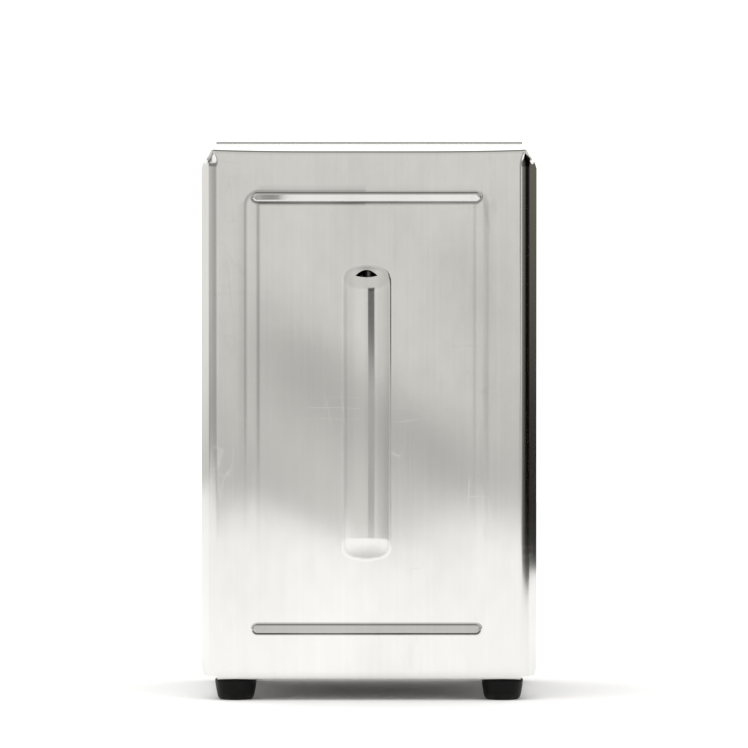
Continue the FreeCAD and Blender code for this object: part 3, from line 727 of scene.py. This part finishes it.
def rubber_foot(node):
    """One moulded foot, turned about its own axis."""
    low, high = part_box(node)
    middle = (low + high) / 2
    outline = foot_outline(low.z, high.z)
    turns = 56
    points = []
    for radius, height in outline:
        for k in range(turns):
            angle = 2 * math.pi * k / turns
            x = middle.x + radius * math.cos(angle)
            y = middle.y + radius * math.sin(angle)
            points.append((x, y, height))
    faces = []
    rings = len(outline)
    for ring in range(rings):
        here = ring * turns
        following = (ring + 1) % rings * turns
        for k in range(turns):
            beside = (k + 1) % turns
            faces.append((here + k, following + k, following + beside, here + beside))
    mesh = bpy.data.meshes.new(node + "_rubber")
    mesh.from_pydata(points, [], faces)
    mesh.shade_smooth()
    mesh.set_sharp_from_angle(angle=math.radians(50))
    mesh.materials.append(foot_rubber)
    piece = bpy.data.objects.new(node + "_rubber", mesh)
    bpy.context.scene.collection.objects.link(piece)
    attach(piece, "case")
    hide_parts(node)


for corner in ("front_left_foot", "front_right_foot", "back_left_foot", "back_right_foot"):
    rubber_foot(corner)


# ---------------------------------------------------------------- carried-over pieces
def finish_nodes(material, names):
    """Gives CAD pieces their material."""
    for name in names:
        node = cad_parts[name]
        node.data.materials.clear()
        node.data.materials.append(material)
        for face in node.data.polygons:
            face.material_index = 0


finish_nodes(tray_steel, ["base_tray"])
finish_nodes(press_steel, ["left_press_plate", "right_press_plate"])
finish_nodes(rivet_steel, ["foot_washers", "foot_rivets"])
for side in ("front", "back"):
    finish_nodes(rod_steel, [side + "_rod", side + "_rod_ring"])
    finish_nodes(tray_steel, [side + "_upper_bracket", side + "_lower_bracket"])
    finish_nodes(spring_steel, [side + "_spring_coils"])
finish_nodes(spring_steel, ["front_left_bail", "front_right_legs", "back_left_legs", "back_right_bail"])


# ---------------------------------------------------------------- floor, light and camera
def floor():
    """A pale floor, reaching further to the left than to the right, by bearing from the front."""
    turns = 120
    reaches = [(-180, 1.15), (-142, 1.3), (-97, 1.45), (-60, 1.15), (-20, 1.08), (20, 1.1)]
    reaches += [(60, 0.95), (97, 0.64), (142, 0.7), (180, 1.15)]
    points = []
    for k in range(turns):
        bearing = 360 * k / turns - 180
        after = next(i for i, (place, reach) in enumerate(reaches) if place > bearing)
        (start, near), (end, far) = reaches[after - 1], reaches[after]
        share = (bearing - start) / (end - start)
        reach = near + (far - near) * share * share * (3 - 2 * share)
        angle = math.radians(bearing)
        points.append((reach * math.sin(angle), -reach * math.cos(angle), 0))
    mesh = bpy.data.meshes.new("floor")
    mesh.from_pydata(points, [], [tuple(range(turns))])
    mesh.materials.append(floor_paint())
    disc = bpy.data.objects.new("floor", mesh)
    bpy.context.scene.collection.objects.link(disc)


# Each shade of the room is at a bearing from the front, with the right-hand side positive.
BROWN_SHADE = (0.17, 0.16, 0.14, 1)
ROOM_SHADES = [
    (-180, 1.45), (-166, 1.4), (-146, 0.95), (-122, 0.78), (-105, 0.66), (-90, 0.5), (-76, 0.56), (-58, 0.8),
    (-12, 0.88), (0, 0.83), (9, 0.85), (28, 0.86), (45, 0.78), (73, 0.68), (82, (0.26, 0.245, 0.22, 1)),
    (91, BROWN_SHADE), (97, (0.005, 0.005, 0.005, 1)), (126, (0.05, 0.045, 0.038, 1)), (148, BROWN_SHADE),
    (168, 1.3), (180, 1.45),
]


def place_of(degrees):
    """Where a bearing falls on the ramp that goes round the room."""
    return degrees / 360 + 0.5


def room_colour(bench, turn, rise):
    """The walls' warm greys by bearing, with the dark right-hand side only near the floor."""
    stops = [(place_of(bearing), shade) for bearing, shade in ROOM_SHADES]
    wall = bench.add("ShaderNodeValToRGB", {"stops": stops}, {"Fac": turn / 360 + 0.5})
    warmth = {0: wall, 1: (1.0, 0.993, 0.955)}
    warm = bench.add("ShaderNodeVectorMath", {"operation": "MULTIPLY"}, warmth)
    dark_side = turn.step(60, 88) * (1 - turn.step(150, 170)) * rise.step(9, 24)
    return bench.mix(dark_side, warm, (0.6, 0.59, 0.57, 1))


def room_level(turn, rise):
    """How bright the walls are: dimmer low down and overhead, with one dark post in front, to the right."""
    low_dim = 1 - (-rise).step(2.4, 3.6) * 0.5
    right_corner = turn.step(84, 104) * (1 - turn.step(150, 165))
    left_corner = (1 - turn.step(-112, -92)) * turn.step(-135, -116) * 0.5
    low_dim = low_dim * (1 - (right_corner + left_corner) * (-rise).step(1.4, 3.1) * 0.75)
    high_dim = (1 - rise.step(0.5, 7.0) * 0.12) * (1 - rise.step(45.0, 80.0) * 0.65)
    behind = abs(turn).step(140, 172)
    level = low_dim * high_dim
    level = level + (1.0 - level) * behind * (1 - rise.step(6, 26))
    level = level * (1 - behind * rise.step(6, 30) * 0.55)
    post = 1 - abs(turn - 15).step(8, 12.5)
    post = post * rise.step(-2.7, -2.2) * (1 - rise.step(4, 9))
    return level * (1 - post * 0.86)


def studio_walls():
    """A pale studio: white where the camera looks, and shades of grey all round for the steel to mirror."""
    world = bpy.data.worlds.new("studio")
    world.use_nodes = True
    world.node_tree.nodes.clear()
    bench = Bench(world.node_tree)
    look = bench.add("ShaderNodeTexCoord", None, None, output="Generated")
    x = bench.add("ShaderNodeSeparateXYZ", None, {0: look})
    turn = bench.math("ARCTAN2", x, -x.other("Y")) * (180 / math.pi)
    rise = x.other("Z").math("ARCSINE") * (180 / math.pi)
    feeds = {"Color": room_colour(bench, turn, rise), "Strength": room_level(turn, rise)}
    shade = bench.add("ShaderNodeBackground", None, feeds)
    feeds = {"Color": (1, 1, 1, 1), "Strength": 1.2}
    white = bench.add("ShaderNodeBackground", None, feeds)
    seen = bench.add("ShaderNodeLightPath", None, None, output="Is Camera Ray")
    both = bench.add("ShaderNodeMixShader", None, {0: seen, 1: shade, 2: white})
    bench.add("ShaderNodeOutputWorld", None, {"Surface": both})
    bpy.context.scene.world = world


def overhead_light():
    """One large soft light above, which the steel doesn't mirror."""
    data = bpy.data.lights.new("overhead", "AREA")
    data.shape = "RECTANGLE"
    side = 3.4
    data.size = side
    data.size_y = side
    data.energy = 72
    light = bpy.data.objects.new("overhead", data)
    light.location = (-0.2, -0.3, 2.0)
    light.visible_glossy = False
    light.visible_camera = False
    bpy.context.scene.collection.objects.link(light)


def camera():
    """Square on to the front panel, a little above it, through a long lens."""
    data = bpy.data.cameras.new("camera")
    data.sensor_width = 36
    data.lens = 490
    data.clip_start = 0.05
    data.clip_end = 30
    seen_from = bpy.data.objects.new("camera", data)
    seen_from.location = (EYE_ACROSS, -HALF_DEPTH - EYE_AWAY, EYE_HIGH)
    tilt = math.atan2(EYE_HIGH - AIM_HIGH, EYE_AWAY)
    seen_from.rotation_euler = (math.pi / 2 - tilt, 0, 0)
    bpy.context.scene.collection.objects.link(seen_from)
    bpy.context.scene.camera = seen_from


floor()
studio_walls()
overhead_light()
camera()
bpy.context.scene.view_settings.view_transform = "Standard"
bpy.context.scene.view_settings.look = "None"
